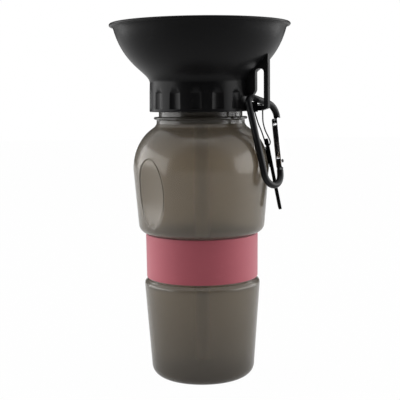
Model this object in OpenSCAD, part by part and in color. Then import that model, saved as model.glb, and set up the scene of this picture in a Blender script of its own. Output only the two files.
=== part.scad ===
// Dog travel water bottle: squeeze bottle, grip band, screw lid with drinking bowl,
// carabiner on the lid's handle, and a corded hang strip.
// Units mm, +Z up. Origin: centre of the bottle's foot, on the ground.
// -Y is the front. Azimuths run from +X towards +Y.

/* [Bottle] */
// Radius of the widest part of the upper body
body_r = 46.7; // [44:0.1:48.5]
// Radius of the lower body just above its foot
foot_r = 36.15; // [34:0.05:37.5]
// Wall thickness of the squeeze bottle
wall = 1.5; // [1:0.1:2]
// Outside radius of the threaded neck
neck_r = 28.9; // [28:0.1:29.4]
// Radius of the bead below the neck
bead_r = 32.3; // [31.6:0.1:33]
// Height of the neck's top face
neck_top = 203.5; // [203:0.1:204]
// Depth of the two finger flats
flat_depth = 1.7; // [0.8:0.1:2.2]

/* [Grip band] */
// Bottom of the band's groove
band_z0 = 70.4; // [70:0.1:71]
// Height of the band
band_h = 30.5; // [29.5:0.1:30.5]
// Radius of the groove the band is stretched into
groove_r = 37.4; // [37:0.1:37.7]
// Thickness of the band
band_t = 1.7; // [1.2:0.1:2]

/* [Bowl lid] */
// Outside radius of the bowl's rolled rim
rim_r = 62; // [61:0.1:63]
// Radius of the rolled rim's bead
rim_bead = 1.1; // [0.9:0.05:1.3]
// Wall thickness of the bowl
bowl_wall = 1.8; // [1.4:0.1:2.2]
// Bottom of the lid's skirt
skirt_z = 185.7; // [185:0.1:186.5]
// Radius of the skirt at its bottom edge
skirt_r = 35.2; // [35:0.1:35.6]
// Number of grip scallops round the skirt
scallops = 15; // [10:1:15]
// Depth of each scallop
scallop_d = 1.05; // [0.6:0.05:1.3]
// Radius of the drain hole in the bowl's floor
drain_r = 3; // [2:0.1:3.4]

/* [Handle] */
// Azimuth of the handle plate
handle_az = -25.5; // [-28:0.5:-23]
// Thickness of the handle plate
handle_t = 4; // [3.2:0.1:4.2]
// How far the handle stands out past the bottle's side
handle_out = 3.9; // [3.7:0.1:4.5]
// Width of the handle's outer post
post_w = 2.8; // [2.6:0.1:3]
// Width of the strap slot
slot_w = 7.9; // [7.6:0.1:8.2]
// Top of the strap slot
slot_top = 213.3; // [212:0.1:214]
// Top face of the bar under the slot
bar_top = 188.9; // [188.4:0.1:189]

/* [Dip tube] */
// Outside radius of the tube
tube_r = 5; // [4.6:0.1:5.4]
// Inside radius of the tube
tube_bore = 4; // [3.2:0.1:4.2]
// Running fit between the tube and its socket
tube_fit = 0.05; // [0.03:0.01:0.08]
// Height of the tube's foot above the ground
tube_z = 10; // [9:0.5:20]

/* [Carabiner] */
// Radius of the carabiner's bar
rod_r = 2.25; // [2:0.05:2.25]
// Running fit between the gate's pin and its bore
pin_fit = 0.05; // [0.03:0.01:0.08]
// Radius of the gate's pivot pin
pin_r = 0.75; // [0.6:0.05:0.8]
// Sheet thickness of the gate channel
gate_t = 0.7; // [0.5:0.05:0.7]
// Number of turns in the gate spring
turns = 7; // [5:1:9]

/* [Cord and strip] */
// Diameter of the cord
cord_d = 0.9; // [0.7:0.1:0.9]
// Length of the hang strip
strip_l = 53; // [48:0.5:54]
// Width of the hang strip
strip_w = 10; // [8:0.5:11]
// Thickness of the hang strip
strip_t = 1.5; // [1:0.1:1.5]

/* [Hidden] */
$fn = 96;
cut = 1;

// Lower body, groove and upper body
taper_low = 0.076;
taper_up = 0.0836;
foot_fillet = 8;
foot_c = foot_r - foot_fillet;
low_top_z = 62.5;
low_top_r = foot_r + taper_low * (low_top_z - foot_fillet);
band_z1 = band_z0 + band_h;
up_z = 107.8;
side_top = 142;
shoulder_z1 = 152.7;
shoulder_z2 = 166.3;
shoulder_z3 = 173.3;
shoulder_r3 = 34;
shoulder_drop = 1.9;
up_r = body_r - taper_up * (side_top - up_z);
up_fillet = 6.5;
bead_z = 179.8;
bead_h = 1.8;
collar_r = 30.5;

// Finger flats
flat_az = -138.5;
flat_R = 120;
flat_tilt = 4.57;
flat_z = 147.7;
flat_z0 = 96;
flat_z1 = 162;
flat_d = body_r + 0.3 - flat_depth;

// Lid
rim_c = rim_r - rim_bead;
rim_z = 243.9;
rim_top = rim_z + rim_bead;
cavity_r = 31.4;
cavity_top = 204.7;
floor_z = 207;
floor_r = 31.5;
seal_t = cavity_top - neck_top;
socket_r = tube_r + tube_fit + 1.6;
socket_z = 196;
pitch = 24;
scallop_az = -143;
scallop_R = 8.5;
scallop_z0 = 187;
scallop_top = 198.5;
handle_root = 33;
// The handle clears the wider of the bottle's side and the skirt with room for the carabiner
hang_room = 11.5;
hang_side = max(body_r, skirt_r + hang_room);
handle_r = hang_side + handle_out;
slot_r1 = handle_r - post_w;
slot_r0 = slot_r1 - slot_w;
foot_cut = 4.6;
bar_z = 185.5;
web_z = 195.15;
web_round = 5;
slot_round = 2.5;

// Carabiner centre line: three arcs and the lines that touch them
ca = [4.3, -4.3];
cb = [18.4, -14.4];
cc = [8.8, -51.8];
ra = 4.3;
rb = 9.25;
rc = 8.8;
top_dir = touch_dir(ca, ra, cb, rb);
gate_dir = touch_dir(cb, rb, cc, rc);
nose_dir = -12.5;
heel_l = 2.5;
lap = 0.3;
seam = 0.02;
pivot = [19.9, -45.7];
gate_lean = -13;
gate_out = 1.65;
gate_in = -2.4;
gate_in_low = -1.5;
gate_half = 2.3;
gate_end = 29.9;
nose_y = 30.3;
gate_heel = 4.5;
key_y = 28.7;
open_y = 25.8;
back_y = 3.9;
tongue_t = 1.25;
tongue_r = 2;
neck_t = 0.75;
head_t = 1.25;
rivet_r = 1.25;
rivet_h = 0.3;
wire = 0.35;
coil_r = 1;
coil_x = -0.35;
coil_y0 = 5.2;
coil_y1 = 12.4;
push_r = 1.2;
push_y = tongue_r + 0.3;
hang_in = 1.6;
hang_rise = 4.35;
hang_point = concat((slot_r0 + hang_in) * [cos(handle_az), sin(handle_az)], [bar_top + hang_rise]);
hang_turn = handle_az + 73.67;
hang_lean = -12.37;
hang_roll = 4.29;
hang_at = [-9.36, 1.49, 0];

// Cord and strip, placed from the point the carabiner hangs on
strip_top = hang_point + [7.44, 11.87, -27.25];
strip_lean = 11;
eye_drop = 5;
eye_r = 1.1;
cord_sides = 8;
cord_route = [
    [1.34, -0.57, -3.85],
    [3.84, 0.97, -4.05],
    [4.34, 1.47, -5.85],
    [4.44, 2.97, -10.25],
    [4.84, 5.27, -15.75],
    [6.44, 7.97, -21.25],
    [8.74, 10.07, -25.85],
    [10.04, 11.27, -28.85],
    [10.04, 11.77, -30.45],
    [9.44, 11.87, -31.55],
    [8.44, 11.87, -31.75],
    [7.44, 11.87, -31.65],
    [6.74, 11.77, -30.55],
    [6.44, 11.27, -29.05],
    [5.14, 9.47, -25.25],
    [3.34, 6.27, -20.65],
    [1.44, 2.87, -16.65],
    [0.14, 0.67, -12.75],
    [-1.06, -1.33, -9.05],
    [-1.66, -2.23, -5.85],
    [-1.26, -2.13, -4.05],
    [1.14, -0.69, -3.85],
];
cord_steps = 2;

function bez(p, t) = pow(1 - t, 3) * p[0] + 3 * pow(1 - t, 2) * t * p[1]
    + 3 * (1 - t) * t * t * p[2] + t * t * t * p[3];
function curve(p, n) = [for (i = [0 : n]) bez(p, i / n)];
function arc(c, r, a0, a1, n) = [for (i = [0 : n]) let (a = a0 + (a1 - a0) * i / n) c + r * [cos(a), sin(a)]];
function unit(v) = v / norm(v);
// Direction of the outward normal of the line that touches two circles on the same side
function touch_dir(c1, r1, c2, r2) =
    let (d = c2 - c1) atan2(d[1], d[0]) + acos((r1 - r2) / norm(d));
// Points moved to the left of their direction of travel
function inset(p, d) = [for (i = [0 : len(p) - 1])
    let (a = p[max(i - 1, 0)], b = p[min(i + 1, len(p) - 1)], t = unit(b - a)) p[i] + d * [-t[1], t[0]]];

// Bottle profile
shoulder = curve([
    [body_r, side_top],
    [body_r + 1.5, shoulder_z1],
    [body_r - 2.8, shoulder_z2],
    [shoulder_r3, shoulder_z3]
], 12);
shoulder_in = curve([
    [body_r - wall, side_top],
    [body_r + 1.5 - wall, shoulder_z1 - 0.5],
    [body_r - 4, shoulder_z2 - 1.3],
    [shoulder_r3 - 0.6, shoulder_z3 - shoulder_drop]
], 12);
low_end = arc([low_top_r - 3.2, low_top_z + 0.6], 3.2, 0, 62, 4);
up_start = arc([up_r - up_fillet, up_z], up_fillet, -70, -4, 5);
bottle_outside = concat(
    [[0, 4.6], [14, 3.9], [22, 2], [25.6, 0.3], [26.6, 0]],
    arc([foot_c, foot_fillet], foot_fillet, -90, -4, 6),
    low_end,
    [[groove_r + 0.9, band_z0], [groove_r, band_z0], [groove_r, band_z1], [groove_r + 0.7, band_z1]],
    up_start,
    shoulder,
    [[31.8, 174.9], [collar_r, 177], [collar_r, bead_z - 0.3], [bead_r - 0.5, bead_z]],
    [[bead_r, bead_z + 0.5], [bead_r, bead_z + bead_h - 0.5], [bead_r - 0.5, bead_z + bead_h]],
    [[neck_r, bead_z + bead_h], [neck_r, neck_top - 0.6], [neck_r - 0.6, neck_top], [0, neck_top]]
);
bottle_inside = concat(
    [[0, 4.6 + wall], [14.2, 3.9 + wall], [22.6, 2 + wall], [26.4, wall + 0.2]],
    arc([foot_c, foot_fillet], foot_fillet - wall, -84, -4, 5),
    [[low_top_r - wall, low_top_z], [low_top_r - wall - 0.6, low_top_z + 2.6]],
    [[groove_r - wall, band_z0 - 1.2], [groove_r - wall, band_z1 + 0.8]],
    arc([up_r - up_fillet, up_z], up_fillet - wall, -66, -4, 4),
    shoulder_in,
    [[30.6, 173.7], [29, 176.4], [neck_r - 1.9, 180], [neck_r - 1.9, neck_top + cut], [0, neck_top + cut]]
);

// Lid profile
bowl_curve = curve([[34.8, 204], [33.6, 212], [52.7, 215.1], [rim_c - 1.3, 243.2]], 16);
bowl_in = inset(bowl_curve, bowl_wall);
// The handle's outer face ends in the bowl's wall
handle_top = lookup(handle_r, bowl_curve) + 0.4;
lid_outside = concat(
    [[0, skirt_z], [skirt_r - 0.4, skirt_z], [skirt_r, skirt_z + 0.4], [35, scallop_top]],
    bowl_curve,
    [[rim_c, rim_z - rim_bead], [rim_c, rim_top], [rim_c - 1.4, rim_top], [rim_c - 2.5, rim_top - 0.7]],
    [[rim_c - 3, rim_top - 1.8], [0, rim_top - 1.8]]
);
bowl_inside = concat(
    [[0, floor_z - 0.6], [10, floor_z - 0.5], [24, floor_z - 0.2], [floor_r - 2, floor_z + 0.1]],
    [[floor_r, floor_z + 0.5]],
    [for (i = [4 : 16]) bowl_in[i]],
    [[rim_c - 3.1, rim_top - 1.8], [rim_c - 2.6, rim_top - 0.8], [rim_c - 1.4, rim_top], [rim_c - 1.4, rim_top + cut]],
    [[0, rim_top + cut]]
);

// Tool that cuts one finger flat, grown by g
module flat_tool(az, g) {
    rotate([0, 0, az])
        intersection() {
            translate([flat_d + flat_R, 0, flat_z])
                rotate([0, flat_tilt, 0])
                    cylinder(r = flat_R + g, h = 140, center = true, $fn = 360);
            translate([20, -30, flat_z0 - g])
                cube([40, 60, flat_z1 - flat_z0 + 2 * g]);
        }
}

module bottle() {
    color([0.42, 0.40, 0.36])
        difference() {
            difference() {
                rotate_extrude()
                    polygon(bottle_outside);
                flat_tool(flat_az, 0);
                flat_tool(flat_az + 180, 0);
            }
            difference() {
                rotate_extrude()
                    polygon(bottle_inside);
                flat_tool(flat_az, wall);
                flat_tool(flat_az + 180, wall);
            }
        }
}

module grip_band() {
    color([0.80, 0.50, 0.56])
        rotate_extrude()
            polygon([
                [groove_r, band_z0],
                [groove_r + band_t - 0.5, band_z0],
                [groove_r + band_t - 0.25, band_z0 + 0.4],
                [groove_r + band_t - 0.2, band_z0 + 1.2],
                [groove_r + band_t, band_z1 - 1.2],
                [groove_r + band_t - 0.1, band_z1 - 0.4],
                [groove_r + band_t - 0.45, band_z1],
                [groove_r, band_z1]
            ]);
}

module seal_ring() {
    color([0.75, 0.75, 0.74])
        difference() {
            translate([0, 0, neck_top])
                cylinder(r = 30.5, h = seal_t);
            translate([0, 0, neck_top - cut])
                cylinder(r = 25.5, h = seal_t + 2 * cut);
        }
}

module dip_tube() {
    color([0.85, 0.85, 0.83])
        difference() {
            translate([0, 0, tube_z])
                cylinder(r = tube_r, h = cavity_top - 0.2 - tube_z);
            translate([0, 0, tube_z - cut])
                cylinder(r = tube_bore, h = cavity_top - tube_z + 2 * cut);
            // Slanted foot, so the tube cannot seal itself on the floor
            translate([0, 0, tube_z - 2])
                rotate([0, 30, 0])
                    translate([-20, -20, -20])
                        cube([40, 40, 20]);
        }
}

// Handle plate in the radial plane, x outward and y up
module handle_outline() {
    difference() {
        polygon([
            [handle_root, bar_z],
            [handle_r - foot_cut, bar_z],
            [handle_r - 0.6, bar_z + 1.4],
            [handle_r, bar_z + 2.6],
            [handle_r, handle_top],
            [handle_root, handle_top]
        ]);
        // Slot with round upper corners
        translate([slot_r0, bar_top])
            square([slot_r1 - slot_r0, slot_top - slot_round - bar_top]);
        translate([slot_r0 + slot_round, bar_top])
            square([slot_r1 - slot_r0 - 2 * slot_round, slot_top - bar_top]);
        translate([slot_r0 + slot_round, slot_top - slot_round])
            circle(slot_round, $fn = 48);
        translate([slot_r1 - slot_round, slot_top - slot_round])
            circle(slot_round, $fn = 48);
        // The slot runs in to the skirt under the web, whose corner is round
        difference() {
            translate([handle_root + 1, bar_top])
                square([slot_r0 - handle_root - 0.9, web_z + web_round - bar_top]);
            translate([slot_r0 - web_round, web_z + web_round])
                circle(web_round, $fn = 64);
            translate([handle_root - 1, web_z])
                square([slot_r0 - web_round - handle_root + 1, web_round + 2]);
        }
    }
}

module handle() {
    rotate([0, 0, handle_az])
        rotate([90, 0, 0])
            linear_extrude(height = handle_t, center = true)
                handle_outline();
}

module scallop_tool() {
    reach = scallop_R - scallop_d;
    rise = sqrt(scallop_R * scallop_R - reach * reach);
    translate([35 + reach, 0, scallop_z0])
        cylinder(r = scallop_R, h = scallop_top - rise - scallop_z0);
    translate([35 + reach, 0, scallop_top - rise])
        sphere(scallop_R);
}

module bowl_lid() {
    color([0.09, 0.09, 0.09])
        difference() {
            union() {
                difference() {
                    rotate_extrude()
                        polygon(lid_outside);
                    for (i = [0 : scallops - 1])
                        if (abs(scallop_az + i * pitch - handle_az) > pitch / 2)
                            rotate([0, 0, scallop_az + i * pitch])
                                intersection() {
                                    scallop_tool();
                                    translate([30, -10, scallop_z0])
                                        cube([20, 20, 20]);
                                }
                }
                translate([0, 0, rim_z])
                    rotate_extrude()
                        translate([rim_c, 0])
                            circle(rim_bead, $fn = 32);
                handle();
            }
            rotate_extrude()
                polygon(bowl_inside);
            // Threaded cavity round the neck, leaving the socket for the tube
            difference() {
                translate([0, 0, skirt_z - cut])
                    cylinder(r = cavity_r, h = cavity_top - skirt_z + cut);
                translate([0, 0, socket_z])
                    cylinder(r = socket_r, h = cavity_top - socket_z + cut);
            }
            translate([0, 0, socket_z - cut])
                cylinder(r = tube_r + tube_fit, h = cavity_top - socket_z + cut);
            cylinder(r = drain_r, h = floor_z + 2);
        }
}

// Smooth route through the given points
function mid(p, i, t) =
    let (a = p[max(i - 1, 0)], b = p[i], c = p[i + 1], d = p[min(i + 2, len(p) - 1)])
    0.5 * (2 * b + (c - a) * t + (2 * a - 5 * b + 4 * c - d) * t * t + (3 * b - a - 3 * c + d) * t * t * t);
function smooth(p, n) = concat(
    [for (i = [0 : len(p) - 2]) for (k = [0 : n - 1]) mid(p, i, k / n)],
    [p[len(p) - 1]]
);

module tube(path, d, sides, ref) {
    n = len(path);
    rings = [for (i = [0 : n - 1])
        let (t = unit(path[min(i + 1, n - 1)] - path[max(i - 1, 0)]), a = unit(cross(t, ref)), b = cross(t, a))
        for (k = [0 : sides - 1]) path[i] + d / 2 * (cos(360 * (k + 0.5) / sides) * a + sin(360 * (k + 0.5) / sides) * b)];
    sides_f = [for (i = [0 : n - 2]) for (k = [0 : sides - 1])
        let (q = (k + 1) % sides) for (f = [
            [i * sides + k, i * sides + q, (i + 1) * sides + q],
            [i * sides + k, (i + 1) * sides + q, (i + 1) * sides + k]
        ]) f];
    start_f = [for (k = [0 : sides - 1]) sides - 1 - k];
    end_f = [for (k = [0 : sides - 1]) (n - 1) * sides + k];
    polyhedron(rings, concat(sides_f, [start_f, end_f]), convexity = 6);
}

module hang_cord() {
    color([0.08, 0.08, 0.08])
        tube(smooth([for (p = cord_route) hang_point + p], cord_steps), cord_d, cord_sides, [-0.35, 0.94, 0]);
}

module hang_strip() {
    color([0.07, 0.07, 0.07])
        translate(strip_top)
            rotate([0, -strip_lean, 0])
                rotate([90, 0, 90])
                    linear_extrude(height = strip_t, center = true)
                        difference() {
                            union() {
                                translate([-strip_w / 2 + 2.5, -strip_l])
                                    square([strip_w - 5, strip_l]);
                                translate([-strip_w / 2, -strip_l + 2.5])
                                    square([strip_w, strip_l - 5]);
                                for (x = [-1, 1])
                                    for (y = [-2.5, 2.5 - strip_l])
                                        translate([x * (strip_w / 2 - 2.5), y])
                                            circle(2.5, $fn = 40);
                            }
                            translate([0, -eye_drop])
                                circle(eye_r, $fn = 32);
                        }
}

// From the carabiner's own plane to where it hangs in the handle
module hung() {
    translate(hang_point)
        rotate([0, 0, hang_turn])
            rotate([hang_lean, 0, 0])
                rotate([90, 0, 0])
                    rotate([0, 0, hang_roll])
                        translate(hang_at)
                            children();
}

module bend(c, r, a0, a1) {
    translate([c[0], c[1], 0])
        rotate([0, 0, a0])
            rotate_extrude(angle = a1 - a0)
                translate([r, 0])
                    circle(rod_r, $fn = 40);
}

module bar(a, dir, l) {
    translate([a[0], a[1], 0])
        rotate([0, 0, dir])
            rotate([0, 90, 0])
                translate([0, 0, -lap])
                    cylinder(r = rod_r - seam, h = l + 2 * lap, $fn = 40);
}

module carabiner_body() {
    a_top = ca + ra * [cos(top_dir), sin(top_dir)];
    b_top = cb + rb * [cos(top_dir), sin(top_dir)];
    heel = cc + rc * [cos(gate_dir), sin(gate_dir)];
    heel_end = heel + heel_l * [-sin(gate_dir), cos(gate_dir)];
    up = unit(pivot - heel_end);
    side = [up[1], -up[0]];
    heel_in = heel_end - 0.5 * up;
    color([0.12, 0.12, 0.12])
        hung()
            difference() {
                union() {
                    bend(cb, rb, nose_dir, top_dir);
                    bar(b_top, top_dir + 90, norm(a_top - b_top));
                    bend(ca, ra, top_dir, 180);
                    bar([0, ca[1]], -90, ca[1] - cc[1]);
                    bend(cc, rc, 180, 360 + gate_dir);
                    bar(heel, gate_dir + 90, heel_l);
                    // Tongue that carries the gate's pin
                    translate([0, 0, -tongue_t])
                        linear_extrude(height = 2 * tongue_t)
                            union() {
                                translate(pivot)
                                    circle(tongue_r, $fn = 48);
                                polygon([
                                    heel_in - 0.8 * rod_r * side,
                                    pivot - tongue_r * side,
                                    pivot + tongue_r * side,
                                    heel_in + 0.8 * rod_r * side
                                ]);
                            }
                    // Nose with its locking head
                    translate([pivot[0], pivot[1], 0])
                        rotate([0, 0, gate_lean]) {
                            translate([-0.7, key_y - 1.8, -neck_t])
                                cube([1.9, nose_y + 0.5 - key_y + 1.8, 2 * neck_t]);
                            translate([-0.7, key_y - 1.8, -head_t])
                                cube([1.9, 1.6, 2 * head_t]);
                        }
                }
                translate([pivot[0], pivot[1], -5])
                    cylinder(r = pin_r + pin_fit, h = 10, $fn = 32);
            }
}

// The gate's own frame: pivot at the origin, y up the gate, x outward
module at_gate() {
    hung()
        translate([pivot[0], pivot[1], 0])
            rotate([0, 0, gate_lean])
                children();
}

module carabiner_gate() {
    color([0.78, 0.78, 0.79])
        at_gate()
            difference() {
                translate([0, 0, -gate_half])
                    linear_extrude(height = 2 * gate_half)
                        union() {
                            polygon([
                                [gate_in_low + 0.5, -gate_heel],
                                [gate_in_low, -gate_heel + 0.9],
                                [gate_in, 24],
                                [gate_in, gate_end - 0.8],
                                [gate_in + 0.8, gate_end],
                                [gate_out - 0.8, gate_end],
                                [gate_out, gate_end - 0.8],
                                [gate_out, -gate_heel + 1.4],
                                [gate_out - 0.8, -gate_heel]
                            ]);
                        }
                // Channel between the two cheeks
                translate([-5, -10, -gate_half + gate_t])
                    cube([5 + gate_out - gate_t, 60, 2 * (gate_half - gate_t)]);
                // The back stops short of the tongue
                translate([-5, -10, -gate_half + gate_t])
                    cube([20, 10 + back_y, 2 * (gate_half - gate_t)]);
                // Keyhole that lets the nose through as the gate opens
                translate([0, key_y, -1.1])
                    cube([5, 5, 2.2]);
                translate([0, open_y, -gate_half + gate_t])
                    cube([5, key_y - open_y, 2 * (gate_half - gate_t)]);
                translate([0, 0, -5])
                    cylinder(r = pin_r, h = 10, $fn = 32);
            }
    // Tab that stops the spring
    color([0.78, 0.78, 0.79])
        at_gate()
            translate([coil_x - 1, coil_y1 + 0.1, -gate_half + gate_t])
                cube([gate_out - gate_t - coil_x + 1, 0.6, 2 * (gate_half - gate_t)]);
}

module gate_pin() {
    color([0.70, 0.70, 0.71])
        at_gate() {
            translate([0, 0, -gate_half - rivet_h])
                cylinder(r = rivet_r, h = rivet_h, $fn = 32);
            translate([0, 0, -gate_half - rivet_h])
                cylinder(r = pin_r, h = 2 * (gate_half + rivet_h), $fn = 32);
            translate([0, 0, gate_half])
                cylinder(r = rivet_r, h = rivet_h, $fn = 32);
        }
}

module gate_spring() {
    steps = 10 * turns;
    route = [for (i = [0 : steps])
        let (a = 360 * turns * i / steps, y = coil_y0 + (coil_y1 - coil_y0 - wire) * i / steps + wire / 2)
        [coil_x + coil_r * cos(a), y, coil_r * sin(a)]];
    color([0.66, 0.66, 0.67])
        at_gate()
            tube(route, wire, 6, [0, 1, 0]);
}

module spring_pusher() {
    color([0.70, 0.70, 0.71])
        at_gate()
            translate([coil_x, push_y, 0])
                rotate([-90, 0, 0]) {
                    cylinder(r = push_r, h = coil_y0 - push_y, $fn = 32);
                    cylinder(r = 0.7, h = coil_y0 - push_y + 1.5, $fn = 24);
                }
}

bottle();
grip_band();
seal_ring();
dip_tube();
bowl_lid();
hang_cord();
hang_strip();
carabiner_body();
carabiner_gate();
gate_pin();
gate_spring();
spring_pusher();
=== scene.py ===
"""Dog travel water bottle: squeeze bottle, grip band, bowl lid, carabiner, cord and hang strip."""

from math import acos, atan2, ceil, cos, degrees, exp, hypot, pi, radians, sin, sqrt, tan

import bpy
from bpy.props import FloatProperty, FloatVectorProperty, IntProperty, PointerProperty
from mathutils import Matrix, Vector
from mathutils.geometry import tessellate_polygon


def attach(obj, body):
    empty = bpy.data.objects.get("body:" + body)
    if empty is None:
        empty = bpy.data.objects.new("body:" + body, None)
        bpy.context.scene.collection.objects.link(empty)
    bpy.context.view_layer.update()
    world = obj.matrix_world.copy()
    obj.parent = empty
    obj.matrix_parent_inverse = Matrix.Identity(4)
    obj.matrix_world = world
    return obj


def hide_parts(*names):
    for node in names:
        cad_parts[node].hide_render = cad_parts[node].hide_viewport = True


bl_info = {
    "name": "Dog travel bottle",
    "version": (1, 0, 0),
    "blender": (4, 5, 0),
    "location": "View3D > Sidebar > Travel bottle",
    "description": "Builds the dressed travel bottle on its packed frame",
    "category": "Object",
}

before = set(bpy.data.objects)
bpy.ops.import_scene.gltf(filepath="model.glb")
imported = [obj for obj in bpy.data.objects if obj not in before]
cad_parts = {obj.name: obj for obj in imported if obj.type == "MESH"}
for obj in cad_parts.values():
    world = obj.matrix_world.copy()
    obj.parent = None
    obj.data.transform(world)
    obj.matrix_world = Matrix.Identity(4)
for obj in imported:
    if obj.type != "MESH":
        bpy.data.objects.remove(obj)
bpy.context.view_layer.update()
MM = 0.001


def colour(name, value, what):
    """A linear colour that a user can change."""
    return FloatVectorProperty(
        name=name, description=what, default=value, size=3, min=0, max=1, subtype="COLOR"
    )


def length(name, value, what):
    """A length that a user can change, given here in millimetres."""
    return FloatProperty(
        name=name, description=what, default=value * MM, min=0, max=1, precision=5, unit="LENGTH"
    )


def segments(value, fewest, what):
    """A number of segments that a user can change."""
    return IntProperty(name="Segments", description=what, default=value, min=fewest, max=1440)


# ---- settings


class TB_Bottle(bpy.types.PropertyGroup):
    """Squeeze bottle and grip band"""

    tint: colour("Smoke tint", (0.690, 0.620, 0.512), "Colour of the translucent wall")
    # The deep tint, at 0.3 of its value, also colours the painted shade on the bottle's wall
    deep: colour("Deep tint", (0.645, 0.575, 0.462), "Colour where the wall is thick")
    band: colour("Band", (0.485, 0.100, 0.132), "Colour of the silicone band")
    wall: length("Wall", 1.5, "Thickness of the bottle's wall")
    edge: length("Edge", 0.35, "Rounding of the moulded edges")
    segments: segments(240, 48, "Segments round the bottle")


class TB_Lid(bpy.types.PropertyGroup):
    """Bowl lid with its handle"""

    black: colour("Black", (0.0052, 0.0052, 0.0056), "Colour of the moulded lid")
    edge: length("Edge", 0.25, "Rounding of the moulded edges")
    handle_edge: length("Handle edge", 0.3, "Rounding of the handle's edges")
    segments: segments(720, 96, "Segments round the lid")


class TB_Clip(bpy.types.PropertyGroup):
    """Carabiner"""

    bar: colour("Bar", (0.008, 0.008, 0.009), "Colour of the anodised bar")
    gate: colour("Gate", (0.36, 0.36, 0.365), "Colour of the bare gate")
    radius: length("Bar radius", 2.25, "Radius of the bent bar")


class TB_Cord(bpy.types.PropertyGroup):
    """Cord and hang strip"""

    black: colour("Black", (0.004, 0.004, 0.004), "Colour of the cord and the strip")
    diameter: length("Cord", 0.9, "Diameter of the cord")


class TB_Stage(bpy.types.PropertyGroup):
    """Floor, light and camera"""

    floor: colour("Floor", (0.50, 0.50, 0.50), "Colour of the floor")
    side_light: FloatProperty(
        name="Side light", description="Power of each side lamp", default=3.6, unit="POWER"
    )
    top_light: FloatProperty(
        name="Top light", description="Power of the overhead lamp", default=0.8, unit="POWER"
    )
    ambient: FloatProperty(
        name="Ambient", description="Strength of the room on the object", default=1.15
    )
    lens: FloatProperty(name="Lens", description="Focal length", default=81.135, unit="CAMERA")


# ---- shading


class Value:
    """A socket that adds, subtracts and multiplies as a number does."""

    def __init__(self, net, socket):
        self.net = net
        self.socket = socket

    def _math(self, operation, a, b=None):
        """One Math node on values or numbers."""
        values = {0: a} if b is None else {0: a, 1: b}
        return self.net.node("ShaderNodeMath", {"operation": operation}, values)

    def __add__(self, other):
        return self._math("ADD", self, other)

    __radd__ = __add__

    def __sub__(self, other):
        return self._math("SUBTRACT", self, other)

    def __rsub__(self, other):
        return self._math("SUBTRACT", other, self)

    def __mul__(self, other):
        return self._math("MULTIPLY", self, other)

    __rmul__ = __mul__

    def clamp(self):
        """Kept between 0 and 1."""
        return self._math("MINIMUM", self._math("MAXIMUM", self, 0.0), 1.0)

    def sine(self):
        """Its sine."""
        return self._math("SINE", self)

    def beside(self, out):
        """Another output of the same node."""
        return Value(self.net, self.socket.node.outputs[out])


class Finish:
    """The nodes of one procedural material, or of the world."""

    def __init__(self, name, world=None):
        self.owner = world or bpy.data.materials.new(name)
        self.owner.use_nodes = True
        self.tree = self.owner.node_tree
        self.tree.nodes.clear()

    def node(self, kind, settings=None, values=None, out=0):
        """Any node: its settings first, then the values or links of its sockets."""
        made = self.tree.nodes.new(kind)
        for key, value in (settings or {}).items():
            setattr(made, key, value)
        for key, value in (values or {}).items():
            socket = made.inputs[key]
            if isinstance(value, Value):
                self.tree.links.new(value.socket, socket)
            elif hasattr(value, "__len__") and len(value) == 3 and socket.type == "RGBA":
                socket.default_value = (*value, 1.0)
            else:
                socket.default_value = value
        return Value(self, made.outputs[out]) if len(made.outputs) else None

    def where(self, kind="Object"):
        """The point on the surface."""
        return self.node("ShaderNodeTexCoord", out=kind)

    def noise(self, scale, detail=3.0, rough=0.5, stretch=None):
        """Noise from 0 to 1, drawn out along an axis by stretch."""
        at = self.where()
        if stretch:
            at = self.node("ShaderNodeMapping", {}, {"Vector": at, "Scale": stretch})
        values = {"Vector": at, "Scale": scale, "Detail": detail, "Roughness": rough}
        return self.node("ShaderNodeTexNoise", {}, values)

    def steps(self, value, low, high):
        """Value moved from low..high to 0..1 smoothly."""
        return self.node(
            "ShaderNodeMapRange",
            {"interpolation_type": "SMOOTHSTEP"},
            {"Value": value, "From Min": low, "From Max": high, "To Min": 0.0, "To Max": 1.0},
        )

    def mix(self, factor, a, b):
        """Colour a, or b where factor is 1."""
        return self.node("ShaderNodeMix", {"data_type": "RGBA"}, {0: factor, 6: a, 7: b}, out=2)

    def bump(self, height, distance, strength, normal=None):
        """A normal raised by height times distance, in metres."""
        values = {"Height": height, "Distance": distance, "Strength": strength}
        if normal is not None:
            values["Normal"] = normal
        return self.node("ShaderNodeBump", {}, values)

    def surface(self, inside=None, **values):
        """The principled surface, straight to the output, with what absorbs light inside it."""
        sockets = {key.replace("_", " "): value for key, value in values.items()}
        ends = {"Surface": self.node("ShaderNodeBsdfPrincipled", {}, sockets)}
        if inside is not None:
            ends["Volume"] = inside
        self.node("ShaderNodeOutputMaterial", {}, ends)
        return self.owner


def toned(tone, share):
    """The colour made darker or lighter."""
    return tuple(c * share for c in tone)


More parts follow.
